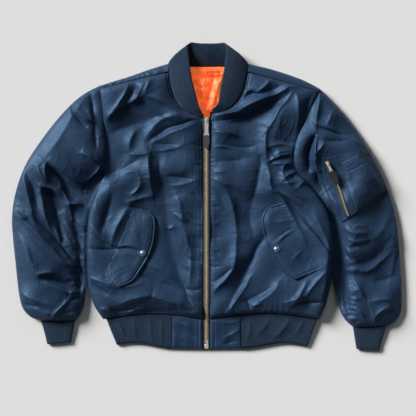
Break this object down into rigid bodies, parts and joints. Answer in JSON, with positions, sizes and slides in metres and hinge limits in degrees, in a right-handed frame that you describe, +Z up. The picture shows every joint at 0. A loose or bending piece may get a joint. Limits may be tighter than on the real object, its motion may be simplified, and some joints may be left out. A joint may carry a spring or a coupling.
{
  "type": "padded bomber jacket",
  "caption": "Padded nylon bomber jacket laid flat, zip closed, with rib collar, cuffs and hem, slanted flap pockets and a zip pocket on the left sleeve.",
  "frame": {"origin": "centre of the bounding box in plan, on the surface the jacket lies on", "axes": "+X towards the wearer's left sleeve, +Y from the hem to the collar, +Z up, out of the front of the jacket"},
  "size_m": [0.937, 0.7388, 0.0447],
  "materials": {
    "nylon": "satin woven nylon, navy",
    "rib_knit": "matt rib knit, navy",
    "lining": "satin woven nylon, orange",
    "snap_paint": "glossy navy enamel",
    "zip_brass": "aged brass teeth",
    "zip_tape": "matt woven tape",
    "nickel": "warm polished nickel",
    "pull_tab": "dark matt leather",
    "label": "plain black woven tab"
  },
  "bodies": {
    "jacket": {"front_right": "nylon", "front_left": "nylon", "back": "nylon", "sleeve_right": "nylon", "sleeve_left": "nylon", "cuff_right": "rib_knit", "cuff_left": "rib_knit", "collar": "rib_knit", "hem_rib": "rib_knit", "hem_end_right": "nylon", "hem_end_left": "nylon", "neck_lining": "lining", "flap_right": "nylon", "flap_left": "nylon", "snap_right": "snap_paint", "snap_left": "snap_paint", "zip_chain": "zip_brass", "zip_tape_right": "zip_tape", "zip_tape_left": "zip_tape", "front_slider": "nickel", "sleeve_pocket": "nylon", "pen_pocket": "nylon", "sleeve_label": "label", "sleeve_zip_chain": "zip_brass", "sleeve_slider": "nickel"},
    "front_zip_pull": {"front_pull": "nickel", "front_tab": "pull_tab"},
    "sleeve_zip_pull": {"sleeve_pull": "nickel", "sleeve_tab": "pull_tab"}
  },
  "joints": [
    {"name": "front_pull_hinge", "type": "hinge", "parent": "jacket", "child": "front_zip_pull", "pos_m": [0, 0.182, 0.0278], "axis": [-1, 0, 0], "range_deg": [0, 150]},
    {"name": "sleeve_pull_hinge", "type": "hinge", "parent": "jacket", "child": "sleeve_zip_pull", "pos_m": [0.28921, 0.07735, 0.04247], "axis": [-0.9131, -0.4078, 0], "range_deg": [0, 140]}
  ]
}
